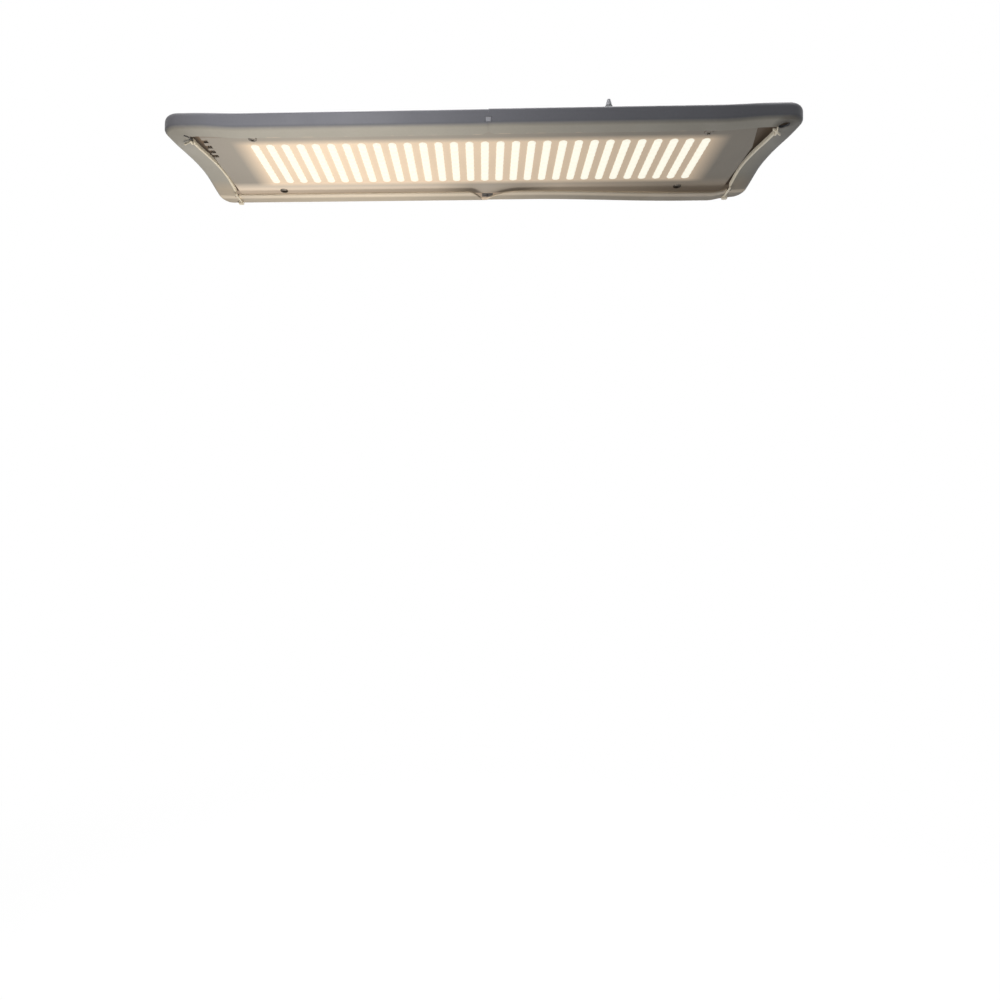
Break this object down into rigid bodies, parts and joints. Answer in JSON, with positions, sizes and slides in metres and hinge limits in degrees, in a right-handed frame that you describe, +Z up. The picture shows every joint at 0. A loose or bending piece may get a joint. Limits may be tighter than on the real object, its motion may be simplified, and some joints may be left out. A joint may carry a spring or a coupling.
{
  "type": "led grow light panel",
  "caption": "Slim LED grow light panel: shallow seamed metal tray with rolled lips, LED board in its open underside, driver box on the back and fold-flat wire bails.",
  "frame": {"origin": "middle of the panel's box on the plane that its feet stand on", "axes": "+X along the panel to the end with the driver, +Y from the front edge to the rear edge, +Z up from the lit underside to the back"},
  "size_m": [0.392, 0.1, 0.029],
  "materials": {
    "tray_paint": "satin powder coat, blue grey",
    "edging": "soft cream, slightly glossy",
    "led": "silicone domed packages, lit warm white",
    "board": "pale matt solder mask",
    "pad": "soft matt pad",
    "aluminium": "mill finish",
    "steel": "zinc plated",
    "clip": "moulded nylon, pale grey",
    "driver": "fine moulded grain",
    "circuit": "solder mask and potted parts",
    "rubber": "matt",
    "nylon": "moulded nylon",
    "sleeve": "soft moulded sleeve",
    "lead": "insulated wire",
    "connector": "moulded shell"
  },
  "bodies": {
    "panel": {"tray_left": "tray_paint", "tray_right": "tray_paint", "seam_strap": "tray_paint", "end_edging_left": "edging", "end_edging_right": "edging", "bail_bracket_left": "steel", "bail_bracket_right": "steel", "seam_clip_front": "clip", "seam_clip_rear": "clip", "led_board": "board", "thermal_pad": "pad", "heat_spreader": "aluminium", "driver_case": "driver", "driver_cover": "driver", "driver_circuit": "circuit", "driver_screw_left": "steel", "driver_screw_right": "steel", "driver_grommet": "rubber", "cable_gland": "nylon", "cable_gland_nut": "nylon", "cord_sleeve": "sleeve", "input_lead": "lead", "output_lead": "lead", "board_connector": "connector", "led_row_01": "led", "led_row_02": "led", "led_row_03": "led", "led_row_04": "led", "led_row_05": "led", "led_row_06": "led", "led_row_07": "led", "led_row_08": "led", "led_row_09": "led", "led_row_10": "led", "led_row_11": "led", "led_row_12": "led", "led_row_13": "led", "led_row_14": "led", "led_row_15": "led", "led_row_16": "led", "led_row_17": "led", "led_row_18": "led", "led_row_19": "led", "led_row_20": "led", "led_row_21": "led", "led_row_22": "led", "led_row_23": "led", "led_row_24": "led", "led_row_25": "led", "led_row_26": "led", "led_row_27": "led", "led_row_28": "led", "led_row_29": "led", "led_row_30": "led", "board_screw_front_left": "steel", "board_screw_front_right": "steel", "board_screw_rear_left": "steel", "board_screw_rear_right": "steel"},
    "bail_left": {"bail_left": "steel"},
    "bail_right": {"bail_right": "steel"}
  },
  "joints": [
    {"name": "bail_left_fold", "type": "hinge", "parent": "panel", "child": "bail_left", "pos_m": [-0.168, 0, 0.0175], "axis": [0, -1, 0], "range_deg": [0, 180]},
    {"name": "bail_right_fold", "type": "hinge", "parent": "panel", "child": "bail_right", "pos_m": [0.168, 0, 0.0178], "axis": [0, 1, 0], "range_deg": [0, 180]}
  ]
}
